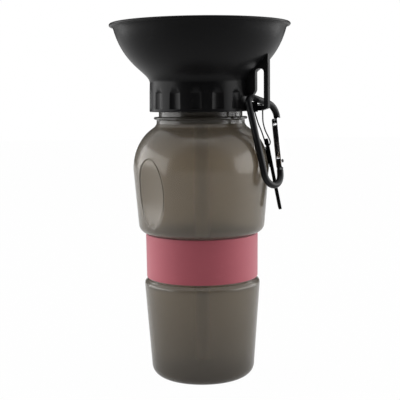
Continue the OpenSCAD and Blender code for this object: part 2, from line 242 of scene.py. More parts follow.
def smoke_plastic(name, tint, deep):
    """Smoke-grey translucent squeeze bottle plastic, satin outside with faint flow marks."""
    f = Finish(name)
    cloud = f.noise(22.0)
    flow = f.noise(60.0, 4.0, 0.6, (1.0, 1.0, 0.12))
    fine = f.noise(900.0, 2.0)
    shade = f.steps(cloud * 0.7 + flow * 0.3, 0.3, 0.7)
    height = f.node("ShaderNodeSeparateXYZ", {}, {0: f.where()}, out=2)
    # Painted shade: the base colour is darkened at these heights in metres, at the shoulder and neck
    # under the bowl, over the lower body and foot, and in a strip just above the band
    shoulder = f.steps(height, 0.148, 0.174) * 0.38
    neck = f.steps(height, 0.174, 0.181) * 0.62
    lower = (1 - f.steps(height, 0.01, 0.11)) * 0.38
    base = (1 - f.steps(height, 0.006, 0.026)) * 0.32
    body_edge = f.steps(height, 0.099, 0.102) * (1 - f.steps(height, 0.106, 0.116)) * 0.13
    # thick holds the painted shade, and the deep tint at 0.3 of its value is its colour
    thick = shoulder + neck + lower + base + body_edge
    normal = f.bump(flow * 0.5 + cloud * 0.5, 0.0006, 0.25)
    normal = f.bump(fine, 0.00002, 0.08, normal)
    haze = {"Color": (0.18, 0.10, 0.0), "Density": 500.0}
    smoke = f.node("ShaderNodeVolumeAbsorption", {}, haze)
    return f.surface(
        inside=smoke,
        Base_Color=f.mix(thick, f.mix(shade, deep, tint), toned(deep, 0.3)),
        Roughness=0.16 + flow * 0.08,
        IOR=1.46,
        Transmission_Weight=0.82,
        Normal=normal,
    )


def black_moulding(name, black):
    """Black polypropylene: satin gloss with hair scratches and a fine grain."""
    f = Finish(name)
    cloud = f.noise(30.0, 4.0, 0.6)
    grain = f.noise(1400.0, 2.0)
    scuff = f.steps(f.noise(240.0, 2.0, 0.5, (1.0, 0.06, 1.0)), 0.60, 0.75)
    return f.surface(
        Base_Color=f.mix(cloud * 0.4 + scuff * 0.25, black, toned(black, 1.9)),
        Roughness=(0.24 + cloud * 0.12 + scuff * 0.10).clamp(),
        IOR=1.49,
        Specular_IOR_Level=0.12,
        Normal=f.bump(grain + scuff * 0.5, 0.00003, 0.6),
    )


def band_silicone(name, band):
    """Matte silicone, a little dusty, with a fine moulded grain."""
    f = Finish(name)
    cloud = f.noise(35.0, 4.0, 0.55)
    grain = f.noise(1600.0)
    dust = f.steps(f.noise(180.0, 5.0, 0.65), 0.55, 0.8)
    pale = tuple(min(1.0, c * 1.05 + 0.04) for c in band)
    base = f.mix(cloud, toned(band, 0.86), band)
    return f.surface(
        Base_Color=f.mix(dust * 0.35, base, pale),
        Roughness=(0.52 + cloud * 0.10 + dust * 0.08).clamp(),
        IOR=1.42,
        Sheen_Weight=0.6,
        Sheen_Tint=(1.0, 0.68, 0.74, 1.0),
        Sheen_Roughness=0.45,
        Normal=f.bump(grain, 0.00005, 0.55),
    )


def soft_silicone(name, tone):
    """Clear-grey silicone of the seal."""
    f = Finish(name)
    cloud = f.noise(60.0)
    return f.surface(
        Base_Color=f.mix(cloud, toned(tone, 0.85), tone),
        Roughness=0.45 + cloud * 0.1,
        IOR=1.42,
        Transmission_Weight=0.2,
        Normal=f.bump(f.noise(900.0), 0.00004, 0.5),
    )


def tube_plastic(name, tone):
    """Natural polyethylene tube with drawn lines along it."""
    f = Finish(name)
    drawn = f.noise(400.0, 2.0, 0.5, (1.0, 1.0, 0.02))
    return f.surface(
        Base_Color=f.mix(drawn, toned(tone, 0.8), tone),
        Roughness=0.34 + drawn * 0.1,
        IOR=1.5,
        Transmission_Weight=0.1,
        Normal=f.bump(drawn, 0.00005, 0.4),
    )


def anodised(name, tone):
    """Dark anodised aluminium, with rubbed places scattered over it."""
    f = Finish(name)
    cloud = f.noise(90.0, 4.0, 0.6)
    grain = f.noise(2200.0, 2.0)
    rubbed = f.steps(f.noise(150.0, 5.0, 0.7), 0.62, 0.80)
    worn = (0.16, 0.155, 0.15)
    return f.surface(
        Base_Color=f.mix(rubbed * 0.15, tone, worn),
        Metallic=rubbed * 0.3,
        Roughness=(0.26 + cloud * 0.12 - rubbed * 0.05).clamp(),
        Specular_IOR_Level=0.22,
        Normal=f.bump(grain, 0.00002, 0.5),
    )


def bare_metal(name, tone, rough):
    """Bare metal with fine drawing lines and small knocks."""
    f = Finish(name)
    drawn = f.noise(900.0, 3.0, 0.6, (1.0, 1.0, 0.03))
    knocks = f.steps(f.noise(500.0, 3.0, 0.6), 0.62, 0.8)
    return f.surface(
        Base_Color=f.mix(knocks * 0.5, tone, toned(tone, 0.7)),
        Metallic=1.0,
        Roughness=(rough + drawn * 0.12 + knocks * 0.1).clamp(),
        Normal=f.bump(drawn + knocks, 0.00002, 0.4),
    )


def braided(name, black, across=2 * pi, along=2 * pi):
    """Woven polyester: crossing strands that follow the piece's own length and width."""
    f = Finish(name)
    u = f.node("ShaderNodeSeparateXYZ", {}, {0: f.where("UV")})
    v = u.beside(1)
    one = (u * across + v * along).sine()
    two = (u * across - v * along).sine()
    strands = (one * two * 0.5 + 0.5).clamp()
    fuzz = f.noise(2500.0, 3.0, 0.7)
    lift = strands * 0.8 + fuzz * 0.2
    return f.surface(
        Base_Color=f.mix(lift, black, toned(black, 2.0)),
        Roughness=0.72 + fuzz * 0.15,
        Specular_IOR_Level=0.02,
        Normal=f.bump(lift, 0.00012, 0.6),
    )


# ---- shapes


def curve(p, count):
    """Points along the cubic with four control points."""
    line = []
    for t in (i / count for i in range(count + 1)):
        s = 1 - t
        w = (s * s * s, 3 * s * s * t, 3 * s * t * t, t * t * t)
        line.append(tuple(sum(w[i] * p[i][k] for i in range(4)) for k in range(2)))
    return line


def arc(centre, radius, start, end, count):
    """Points round part of a circle, in degrees."""
    turn = [radians(start + (end - start) * i / count) for i in range(count + 1)]
    return [(centre[0] + radius * cos(a), centre[1] + radius * sin(a)) for a in turn]


def rectangle(left, right, low, high):
    """Corners of a rectangle, anticlockwise."""
    return [(left, low), (right, low), (right, high), (left, high)]


def signed_area(loop):
    """Twice the area inside a loop, below 0 where it runs clockwise."""
    return sum(a[0] * b[1] - b[0] * a[1] for a, b in zip(loop, loop[1:] + loop[:1]))


def once_round(count):
    """Angles once round a circle, in equal steps."""
    return [2 * pi * i / count for i in range(count)]


def level_ring(r, z, angles, shape=None):
    """Points round Z at a radius and a height; shape may move each radius."""
    radii = [shape(r, z, a) if shape else r for a in angles]
    return [(rr * cos(a), rr * sin(a), z) for rr, a in zip(radii, angles)]


def inset(line, amount):
    """The line moved to the left of its direction of travel."""
    moved = []
    for i, p in enumerate(line):
        a, b = line[max(i - 1, 0)], line[min(i + 1, len(line) - 1)]
        dx, dy = b[0] - a[0], b[1] - a[1]
        size = sqrt(dx * dx + dy * dy)
        moved.append((p[0] - amount * (dy / size), p[1] + amount * (dx / size)))
    return moved


def soften(line, radius, closed=True, steps=4, limit=18):
    """The line with its sharp corners rounded."""
    result = []
    n = len(line)
    for i, p in enumerate(line):
        if not closed and i in (0, n - 1):
            result.append(p)
            continue
        a, b = line[i - 1], line[(i + 1) % n]
        u, v = (a[0] - p[0], a[1] - p[1]), (b[0] - p[0], b[1] - p[1])
        lu, lv = hypot(*u), hypot(*v)
        if lu < 1e-9 or lv < 1e-9:
            continue
        dot = max(-1.0, min(1.0, (u[0] * v[0] + u[1] * v[1]) / (lu * lv)))
        turn = pi - acos(dot)
        if degrees(turn) < limit:
            result.append(p)
            continue
        back = min(radius * tan(turn / 2), 0.45 * lu, 0.45 * lv)
        start = (p[0] + u[0] / lu * back, p[1] + u[1] / lu * back)
        end = (p[0] + v[0] / lv * back, p[1] + v[1] / lv * back)
        for k in range(steps + 1):
            t = k / steps
            w = ((1 - t) ** 2, 2 * t * (1 - t), t * t)
            result.append(tuple(w[0] * start[j] + w[1] * p[j] + w[2] * end[j] for j in range(2)))
    return result


def spread(line, gap):
    """The line with long stretches divided, so that faces stay nearly square."""
    result = [line[0]]
    for a, b in zip(line[:-1], line[1:]):
        count = max(1, int(ceil(hypot(b[0] - a[0], b[1] - a[1]) / gap)))
        for k in range(1, count + 1):
            result.append(tuple(a[j] + (b[j] - a[j]) * k / count for j in range(2)))
    return result


def spin(angle, axis):
    """A turn by an angle in degrees."""
    return Matrix.Rotation(radians(angle), 4, axis)


SHARP_ANGLE, BEVEL_ANGLE = 32, 40


class Form:
    """Points, faces and UVs, gathered in millimetres and then made into one object."""

    def __init__(self):
        self.points = []
        self.faces = []
        self.uvs = []

    def tunnel(self, rows, loop_rows=False, uv=(1.0, 1.0)):
        """Quads over rings of points, with end caps unless the last ring meets the first."""
        base = len(self.points)
        wide = len(rows[0])
        for row in rows:
            self.points += row
        down = len(rows) if loop_rows else len(rows) - 1
        for i in range(down):
            here, there = base + i * wide, base + (i + 1) % len(rows) * wide
            v0, v1 = i / down * uv[1], (i + 1) / down * uv[1]
            for j in range(wide):
                m = (j + 1) % wide
                self.faces.append((here + j, here + m, there + m, there + j))
                u0, u1 = j / wide * uv[0], (j + 1) / wide * uv[0]
                self.uvs.append(((u0, v0), (u1, v0), (u1, v1), (u0, v1)))
        caps = () if loop_rows else ((base, -1), (base + down * wide, 1))
        for start, way in caps:
            self.faces.append(tuple(range(start, start + wide))[::way])
            self.uvs.append(tuple((0.5 + 0.5 * cos(a), 0.5 + 0.5 * sin(a)) for a in once_round(wide)))
        return self

    def turned(self, line, segments, shape=None, closed=True):
        """A line of (radius, height) turned about Z; shape may move each radius."""
        angles = once_round(segments)
        return self.tunnel([level_ring(r, z, angles, shape) for r, z in line], loop_rows=closed)

    def swept(self, path, radius, sides, uv=(1.0, 1.0), aside=None):
        """A round bar along a path; its seam starts square to aside."""
        rows = []
        points = [Vector(p) for p in path]
        n = len(points)
        turn = once_round(sides)
        normal = None
        for i, p in enumerate(points):
            t = (points[min(i + 1, n - 1)] - points[max(i - 1, 0)]).normalized()
            if normal is None:
                aside = aside or ((0, 0, 1) if abs(t.z) < 0.9 else (1, 0, 0))
                normal = t.cross(Vector(aside)).normalized()
            normal = (normal - t * normal.dot(t)).normalized()
            other = t.cross(normal)
            rows.append([tuple(p + radius * (cos(a) * normal + sin(a) * other)) for a in turn])
        return self.tunnel(rows, uv=uv)

    def plate(self, outline, low, high, holes=(), place=None):
        """A flat plate in XY from low to high, with holes, moved to its place."""
        loops = [list(outline)] + [list(h) for h in holes]
        for loop, way in zip(loops, [1] + [-1] * len(holes)):
            if way * signed_area(loop) < 0:
                loop.reverse()
        flat = [p for loop in loops for p in loop]
        base = len(self.points)
        count = len(flat)
        self.points += [(x, y, low) for x, y in flat] + [(x, y, high) for x, y in flat]
        lo = [min(p[k] for p in flat) for k in (0, 1)]
        hi = [max(p[k] for p in flat) for k in (0, 1)]
        uv = [tuple((p[k] - lo[k]) / (hi[k] - lo[k]) for k in (0, 1)) for p in flat]
        for tri in tessellate_polygon([[Vector((x, y, 0)) for x, y in loop] for loop in loops]):
            a, b, c = (flat[i] for i in tri)
            if (b[0] - a[0]) * (c[1] - a[1]) - (c[0] - a[0]) * (b[1] - a[1]) < 0:
                tri = tri[::-1]
            self.faces.append(tuple(base + count + i for i in tri))
            self.uvs.append(tuple(uv[i] for i in tri))
            self.faces.append(tuple(base + i for i in reversed(tri)))
            self.uvs.append(tuple(uv[i] for i in reversed(tri)))
        first = 0
        for loop in loops:
            n = len(loop)
            for k in range(n):
                i, j = first + k, first + (k + 1) % n
                self.faces.append((base + i, base + j, base + count + j, base + count + i))
                self.uvs.append((uv[i], uv[j], uv[j], uv[i]))
            first += n
        return self.moved(place, base)

    def moved(self, matrix, base=0):
        """The points from base on through a matrix, where one is given."""
        if matrix is not None:
            self.points[base:] = [tuple(matrix @ Vector(p)) for p in self.points[base:]]
        return self

    def make(self, name, material, body, slot, bevel=0.0, matrix=None, replaces=None):
        """The finished object, riding on its body."""
        mesh = bpy.data.meshes.new(name)
        self.moved(matrix)
        mesh.from_pydata([tuple(c * MM for c in p) for p in self.points], [], self.faces)
        layer = mesh.uv_layers.new(name="UVMap")
        flat = [c for corners in self.uvs for uv in corners for c in uv]
        layer.data.foreach_set("uv", flat)
        mesh.materials.append(material)
        mesh.shade_smooth()
        mesh.set_sharp_from_angle(angle=radians(SHARP_ANGLE))
        obj = bpy.data.objects.new(name, mesh)
        bpy.context.scene.collection.objects.link(obj)
        if bevel:
            edge = obj.modifiers.new("Rounded edges", "BEVEL")
            edge.width = bevel
            edge.segments = 3
            edge.limit_method = "ANGLE"
            edge.angle_limit = radians(BEVEL_ANGLE)
            edge.harden_normals = True
        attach(obj, body)
        if replaces:
            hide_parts(*replaces)
        return obj


# ---- the bottle's lines, in millimetres

NECK_TOP, NECK_R = 203.5, 28.9
THREAD_LEAD = 6.0
GROOVE_R = 37.4
BAND_LOW, BAND_HIGH = 70.4, 100.9
LOW_TOP = (40.292, 62.5)
UP_R, UP_Z, UP_FILLET = 43.841, 107.8, 6.5
# Finger flats: their angles, then surface radius, middle, half height, depth and squareness
FLAT_AT = (-138.5, 41.5)
FLAT_R, FLAT_MID, FLAT_TALL, FLAT_DEEP, FLAT_SQUARE = 120.0, 131.5, 23.0, 2.35, 2.3
# Heights that a flat may reach, and the half angle with finer columns round it
FLAT_LOW, FLAT_HIGH, FLAT_WIDE = 107.9, 156.0, 26.0
# Softness of a flat's edge, then depth, offset and half width of its groove and of the lip inside it
FLAT_SOFT = 0.22
FLAT_GROOVE, GROOVE_OUT, GROOVE_HALF = 0.50, 0.3, 0.33
FLAT_LIP, LIP_IN, LIP_HALF = 0.12, 0.7, 0.5


def bottle_outside():
    """Outer line of the bottle, foot to neck."""
    line = [(0.02, 4.6), (14, 3.9), (22, 2), (25.6, 0.3), (26.6, 0)]
    line += arc((28.15, 8), 8, -90, -4, 14)
    line += arc((LOW_TOP[0] - 2.7, LOW_TOP[1] + 3.3), 2.8, -2, 62, 8)
    line += [(38.3, BAND_LOW - 1.3), (GROOVE_R + 0.1, BAND_LOW - 1.0)]
    line += [(GROOVE_R, BAND_HIGH), (38.1, BAND_HIGH)]
    line += arc((UP_R - UP_FILLET, UP_Z), UP_FILLET, -70, -4, 10)
    line += curve([(46.7, 142), (48.2, 152.7), (43.9, 166.3), (34, 173.3)], 26)
    line += [(31.8, 174.9), (30.5, 177), (30.5, 179.5), (31.8, 179.8), (32.3, 180.3), (32.3, 181.1)]
    line += [(31.8, 181.6), (NECK_R, 181.6), (NECK_R, NECK_TOP - 0.6), (NECK_R - 0.6, NECK_TOP)]
    return line


def bottle_inside(wall):
    """Inner line of the bottle, neck to foot."""
    line = [(0.02, 4.6 + wall), (14.2, 3.9 + wall), (22.6, 2 + wall), (26.4, wall + 0.2)]
    line += arc((28.15, 8), 8 - wall, -84, -4, 12)
    line += [(LOW_TOP[0] - wall, LOW_TOP[1]), (LOW_TOP[0] - wall - 0.6, LOW_TOP[1] + 2.6)]
    line += [(GROOVE_R - wall, BAND_LOW - 1.2), (GROOVE_R - wall, BAND_HIGH + 0.8)]
    line += arc((UP_R - UP_FILLET, UP_Z), UP_FILLET - wall, -66, -4, 8)
    line += curve([(46.7 - wall, 142), (46.7, 152.2), (42.7, 165), (33.4, 171.4)], 24)
    line += [(30.6, 173.7), (29, 176.4), (NECK_R - 1.9, 180), (NECK_R - 1.9, NECK_TOP)]
    line.reverse()
    return line


def wall_radius(z, line):
    """Radius of a line of (radius, height) at a height."""
    for a, b in zip(line[:-1], line[1:]):
        if a[1] <= z < b[1]:
            return a[0] + (b[0] - a[0]) * (z - a[1]) / (b[1] - a[1])
    return line[-1][0]


def flat_depth(z):
    """Greatest depth of a finger flat at a height, below 0 beyond its ends."""
    return FLAT_DEEP * (1 - abs((z - FLAT_MID) / FLAT_TALL) ** FLAT_SQUARE)


def flat_edge(line):
    """Outline of a finger flat on the wall, as (half width, height) from one end to the other."""
    edge = []
    for k in range(121):
        z = FLAT_MID + FLAT_TALL * cos(pi * (1 - k / 120))
        r = wall_radius(z, line)
        centre = FLAT_R + r - max(flat_depth(z), 0.0)
        share = (centre * centre + r * r - FLAT_R * FLAT_R) / (2 * centre * r)
        edge.append((r * acos(min(1.0, share)), z))
    return edge


def distance(point, line):
    """Shortest distance from a point to a line of points."""
    best = 1e9
    for a, b in zip(line[:-1], line[1:]):
        dx, dy = b[0] - a[0], b[1] - a[1]
        along = ((point[0] - a[0]) * dx + (point[1] - a[1]) * dy) / (dx * dx + dy * dy)
        along = max(0.0, min(1.0, along))
        best = min(best, hypot(point[0] - a[0] - along * dx, point[1] - a[1] - along * dy))
    return best


def near_side(centre, radius, turn):
    """Distance from Z to the near side of a circle, at an angle turn from its centre."""
    return centre * cos(turn) - sqrt(radius * radius - (centre * sin(turn)) ** 2)


def soft_min(a, b, soft):
    """The smaller of two radii, eased where they meet."""
    gap = max(soft - abs(a - b), 0) / soft
    return min(a, b) - gap * gap * soft / 4


def finger_flat(line, grow, edge=None):
    """How the two finger flats move a radius, with a moulded line round them where edge is given."""
    seen = {}

    def shape(r, z, a):
        if not FLAT_LOW < z < FLAT_HIGH:
            return r
        if z not in seen:
            seen[z] = wall_radius(z, line) - flat_depth(z)
        centre, radius = FLAT_R + seen[z], FLAT_R + grow
        for at in FLAT_AT:
            turn = (a - radians(at) + pi) % (2 * pi) - pi
            if abs(turn) < 0.6:
                cut = near_side(centre, radius, turn)
                moved = soft_min(r, cut, FLAT_SOFT)
                if edge is None or abs(r - cut) > 1:
                    return moved
                off = distance((abs(turn) * r, z), edge) * (1 if r > cut else -1)
                groove = FLAT_GROOVE * exp(-(((off - GROOVE_OUT) / GROOVE_HALF) ** 2))
                lip = FLAT_LIP * exp(-(((off + LIP_IN) / LIP_HALF) ** 2))
                return moved - groove + lip
        return r

    return shape


def thread(radius, section, low, turns, count, taper):
    """A screw thread with a section of (height, depth), which runs out at both ends."""
    rows = []
    for i in range(count + 1):
        t = i / count
        a = 2 * pi * turns * t
        fade = max(0.06, sin(min(1.0, t * 12, (1 - t) * 12) * pi / 2))
        z = low + THREAD_LEAD * turns * t
        ring = [(radius + h * fade, z + w * (1 - taper + taper * fade)) for w, h in section]
        rows.append([(r * cos(a), r * sin(a), height) for r, height in ring])
    return Form().tunnel(rows)


def round_angles(fine, coarse):
    """Angles round the bottle at steps in degrees, finer over the finger flats."""
    angles = []
    a = 0.0
    while a < 360 - 1e-6:
        angles.append(a)
        near = any(abs((a - at + 180) % 360 - 180) < FLAT_WIDE for at in FLAT_AT)
        a += fine if near else coarse
    return [radians(a) for a in angles]


# ---- the lid's lines, in millimetres

# Rolled rim: (radius, height, radius of its bead)
RIM = (60.9, 243.9, 1.1)
SKIRT_R, CAVITY_R = 35, 31.4
# Scallops: cutter's radius, depth, lowest and highest point
SCALLOP = (8.5, 1.05, 187.0, 198.9)
# Height of their rounded tops and softness of their edges, then first angle and step in degrees
SCALLOP_END, SCALLOP_SOFT = 1.3, 0.16
SCALLOP_FIRST, SCALLOP_STEP = -143, 24
HANDLE_AT = -25.5


def bowl_curve():
    """Outer line of the bowl, skirt to rim."""
    return curve([(34.8, 204), (33.6, 212), (52.7, 215.1), (59.6, 243.2)], 40)


def lid_line():
    """Closed line of the lid, from the skirt's foot round the bowl and back up the cavity."""
    bowl = bowl_curve()
    inner = inset(bowl, 1.8)[9:]
    inner.reverse()
    line = [(34.8, 185.1), (35.2, 185.5), (35.0, 198.5)] + bowl[:-1]
    line += arc(RIM[:2], RIM[2], -150, 90, 18)
    line += [(59.5, 245.0), (58.6, 244.5), (58.0, 243.4)]
    line += inner
    line += [(31.5, 207.5), (29.5, 207.1), (24, 206.8), (10, 206.5), (3.0, 206.4), (3.0, 204.7)]
    line += [(5.05, 204.7), (5.05, 196), (6.65, 196), (6.65, 204.7)]
    line += [(CAVITY_R, 204.7), (CAVITY_R, 185.1)]
    return line


def scallops(r, z, a):
    """How the grip scallops move the skirt's radius."""
    big, depth, low, top = SCALLOP
    if not (low <= z <= top + 0.01) or r < 34:
        return r
    past = degrees(a) - SCALLOP_FIRST
    nearest = round(past / SCALLOP_STEP) * SCALLOP_STEP + SCALLOP_FIRST
    if min(abs(nearest - HANDLE_AT), abs(nearest - 360 - HANDLE_AT)) < SCALLOP_STEP / 2:
        return r
    turn = past % SCALLOP_STEP
    turn = radians(min(turn, SCALLOP_STEP - turn))
    reach = big - depth
    rise = sqrt(big * big - reach * reach)
    above = max(0.0, z - (top - SCALLOP_END)) * rise / SCALLOP_END
    radius = sqrt(max(big * big - above * above, 0.0))
    centre = SKIRT_R + reach
    if radius < abs(centre * sin(turn)):
        return r
    return soft_min(r, near_side(centre, radius, turn), SCALLOP_SOFT)


def handle_outline():
    """Outline of the handle plate, x outward and y up."""
    middle = inset(bowl_curve(), 0.9)
    top = [p for p in middle if p[0] < 50.6]
    top.reverse()
    line = [(33, 185.5), (46, 185.5), (50.0, 186.9), (50.6, 188.1)]
    line += [(50.6, 222.6)] + [p for p in top if p[0] > 33.5]
    line += [(33, 204), (33, 195.15), (34.9, 195.15)]
    line += arc((36.5, 200.15), 5, -84, 0, 10)
    line += arc((43.9, 210.9), 2.4, 180, 90, 8) + arc((45.1, 210.8), 2.5, 90, 0, 8)
    line += [(47.6, 188.9), (33, 188.9)]
    return soften(line, 0.5, steps=3, limit=30)


def handle_place():
    """From the handle plate's own plane to the lid."""
    return spin(HANDLE_AT, "Z") @ spin(90, "X")


# ---- the carabiner's lines, in millimetres

# Bends at the top, at the nose and at the foot: (x, y, radius)
ARC_A, ARC_B, ARC_C = (4.3, -4.3, 4.3), (18.4, -14.4, 9.25), (8.8, -51.8, 8.8)
PIVOT = (19.9, -45.7)
GATE_LEAN = -13.0


def touch(c1, c2):
    """Direction, in degrees, of the outward normal of the line that touches two circles."""
    dx, dy = c2[0] - c1[0], c2[1] - c1[1]
    return degrees(atan2(dy, dx) + acos((c1[2] - c2[2]) / hypot(dx, dy)))


def hung():
    """From the carabiner's own plane to where it hangs."""
    place = Matrix.Translation((37.46, -17.87, 193.25)) @ spin(48.17, "Z") @ spin(-12.37, "X")
    return place @ spin(90, "X") @ spin(4.29, "Z") @ Matrix.Translation((-9.36, 1.49, 0))


def at_gate():
    """From the gate's own frame, pivot at the origin and y up the gate."""
    return hung() @ Matrix.Translation((*PIVOT, 0)) @ spin(GATE_LEAN, "Z")


def bar_path():
    """Centre line of the bent bar, nose to heel."""
    top, low = touch(ARC_A, ARC_B), touch(ARC_B, ARC_C)
    line = arc(ARC_B[:2], ARC_B[2], -12.5, top, 26)
    line += arc(ARC_A[:2], ARC_A[2], top, 180, 20)
    line += arc(ARC_C[:2], ARC_C[2], 180, 360 + low, 34)
    end = line[-1]
    way = (-sin(radians(low)), cos(radians(low)))
    line.append((end[0] + 2.5 * way[0], end[1] + 2.5 * way[1]))
    return [(x, y, 0.0) for x, y in spread(line, 1.2)]


# ---- the cord's route, in metres

CORD_ROUTE = [
    (0.0388, -0.01844, 0.1894), (0.0413, -0.0169, 0.1892), (0.0418, -0.0164, 0.1874),
    (0.0419, -0.0149, 0.183), (0.0423, -0.0126, 0.1775), (0.0439, -0.0099, 0.172),
    (0.0462, -0.0078, 0.1674), (0.0475, -0.0066, 0.1644), (0.0475, -0.0061, 0.1628),
    (0.0469, -0.006, 0.1617), (0.0459, -0.006, 0.1615), (0.0449, -0.006, 0.1616),
    (0.0442, -0.0061, 0.1627), (0.0439, -0.0066, 0.1642), (0.0426, -0.0084, 0.168),
    (0.0408, -0.0116, 0.1726), (0.0389, -0.015, 0.1766), (0.0376, -0.0172, 0.1805),
    (0.0364, -0.0192, 0.1842), (0.0358, -0.0201, 0.1874), (0.0362, -0.02, 0.1892),
    (0.0386, -0.01856, 0.1894),
]


def between(a, b, c, d, t):
    """A coordinate on its smooth way from b, at t = 0, to c, at t = 1."""
    square = (2 * a - 5 * b + 4 * c - d) * t * t
    cube = (3 * b - a - 3 * c + d) * t * t * t
    return 0.5 * (2 * b + (c - a) * t + square + cube)


def smooth_route(points, count):
    """A smooth line through the points."""
    line = []
    last = len(points) - 1
    for i in range(last):
        near = [points[max(0, min(i + k, last))] for k in (-1, 0, 1, 2)]
        for k in range(count):
            line.append(tuple(between(*(p[j] for p in near), k / count) for j in range(3)))
    return line + [points[last]]


# ---- the view, in metres and radians

CAMERA_AT, CAMERA_PITCH, CAMERA_ROLL = (-0.00107, -0.62624, 0.19236), 0.1095, 0.011
LAMP_AIM = (0, 0, 0.13)


# ---- operators


class TB_OT_stage(bpy.types.Operator):
    """Camera, floor, room and lamps"""

    bl_idname = "travel_bottle.stage"
    bl_label = "Stage"

    def execute(self, context):
        """Makes the stage."""
        s = context.scene.tb_stage
        scene = context.scene
        scene.view_settings.view_transform = "Standard"

        data = bpy.data.cameras.new("camera")
        data.lens = s.lens
        data.sensor_width = 36
        data.clip_start = 0.01
        camera = bpy.data.objects.new("camera", data)
        ahead = Vector((0, cos(CAMERA_PITCH), -sin(CAMERA_PITCH)))
        level, rise = Vector((1, 0, 0)), Vector((0, sin(CAMERA_PITCH), cos(CAMERA_PITCH)))
        right = cos(CAMERA_ROLL) * level - sin(CAMERA_ROLL) * rise
        up = sin(CAMERA_ROLL) * level + cos(CAMERA_ROLL) * rise
        turn = Matrix((right, up, -ahead)).transposed().to_4x4()
        camera.matrix_world = Matrix.Translation(CAMERA_AT) @ turn
        scene.collection.objects.link(camera)
        scene.camera = camera

        mesh = bpy.data.meshes.new("floor")
        half = 4.0
        corners = [(x, y, 0) for x, y in rectangle(-half, half, -half, half)]
        mesh.from_pydata(corners, [], [(0, 1, 2, 3)])
        floor = bpy.data.objects.new("floor", mesh)
        scene.collection.objects.link(floor)

        # The camera sees a white floor with a shadow on it; the object sees a matt one
        f = Finish("Studio floor")
        path = f.node("ShaderNodeLightPath", out="Is Camera Ray")
        depth = f.node("ShaderNodeSeparateXYZ", {}, {0: f.where()}, out=1)
        mirror = path.beside("Is Glossy Ray") * f.steps(depth, -0.35, -0.05) * 0.55
        seen = (path + path.beside("Is Transmission Ray") * 0.08 + mirror).clamp()
        matt = f.node("ShaderNodeBsdfDiffuse", {}, {"Color": tuple(s.floor)})
        white = f.node("ShaderNodeEmission", {}, {"Color": (1.0, 1.0, 1.0), "Strength": 1.0})
        both = f.node("ShaderNodeMixShader", {}, {0: seen * 0.985, 1: matt, 2: white})
        f.node("ShaderNodeOutputMaterial", {}, {"Surface": both})
        mesh.materials.append(f.owner)

        world = bpy.data.worlds.new("Room")
        scene.world = world

        # A white room behind and beside the object, dark in front of it; the camera sees plain white
        f = Finish("Room", world)
        way = f.node("ShaderNodeTexCoord", out="Generated")
        front = f.node("ShaderNodeSeparateXYZ", {}, {0: way}, out=1)
        path = f.node("ShaderNodeLightPath", out="Is Camera Ray")
        glossy = path.beside("Is Glossy Ray")
        seen = (path + path.beside("Is Transmission Ray")).clamp()
        mirror = (1 - f.steps(front * -1.0, 0.30, 0.80)) * (1 - f.steps(front, 0.56, 0.88) * 0.96)
        fill = (1 - f.steps(front * -1.0, 0.10, 0.65)) * s.ambient
        room = mirror * glossy + fill * (1 - glossy) + 0.015
        strength = seen + (1 - seen) * room
        back = f.node("ShaderNodeBackground", {}, {"Color": (1.0, 1.0, 1.0), "Strength": strength})
        f.node("ShaderNodeOutputWorld", {}, {"Surface": back})

        self.lamp(scene, "lamp_left", (-0.75, 0.05, 0.25), (1.10, 0.46), s.side_light)
        self.lamp(scene, "lamp_right", (0.75, 0.05, 0.25), (1.10, 0.46), s.side_light)
        self.lamp(scene, "lamp_top", (0.0, -0.10, 0.95), (0.6, 0.6), s.top_light)
        return {"FINISHED"}

    def lamp(self, scene, name, at, size, power):
        """One soft rectangular lamp that faces the bottle."""
        data = bpy.data.lights.new(name, "AREA")
        data.shape = "RECTANGLE"
        data.size, data.size_y = size
        data.energy = power
        lamp = bpy.data.objects.new(name, data)
        lamp.location = at
        aim = Vector(LAMP_AIM) - Vector(at)
        lamp.rotation_euler = aim.to_track_quat("-Z", "Y").to_euler()
        scene.collection.objects.link(lamp)


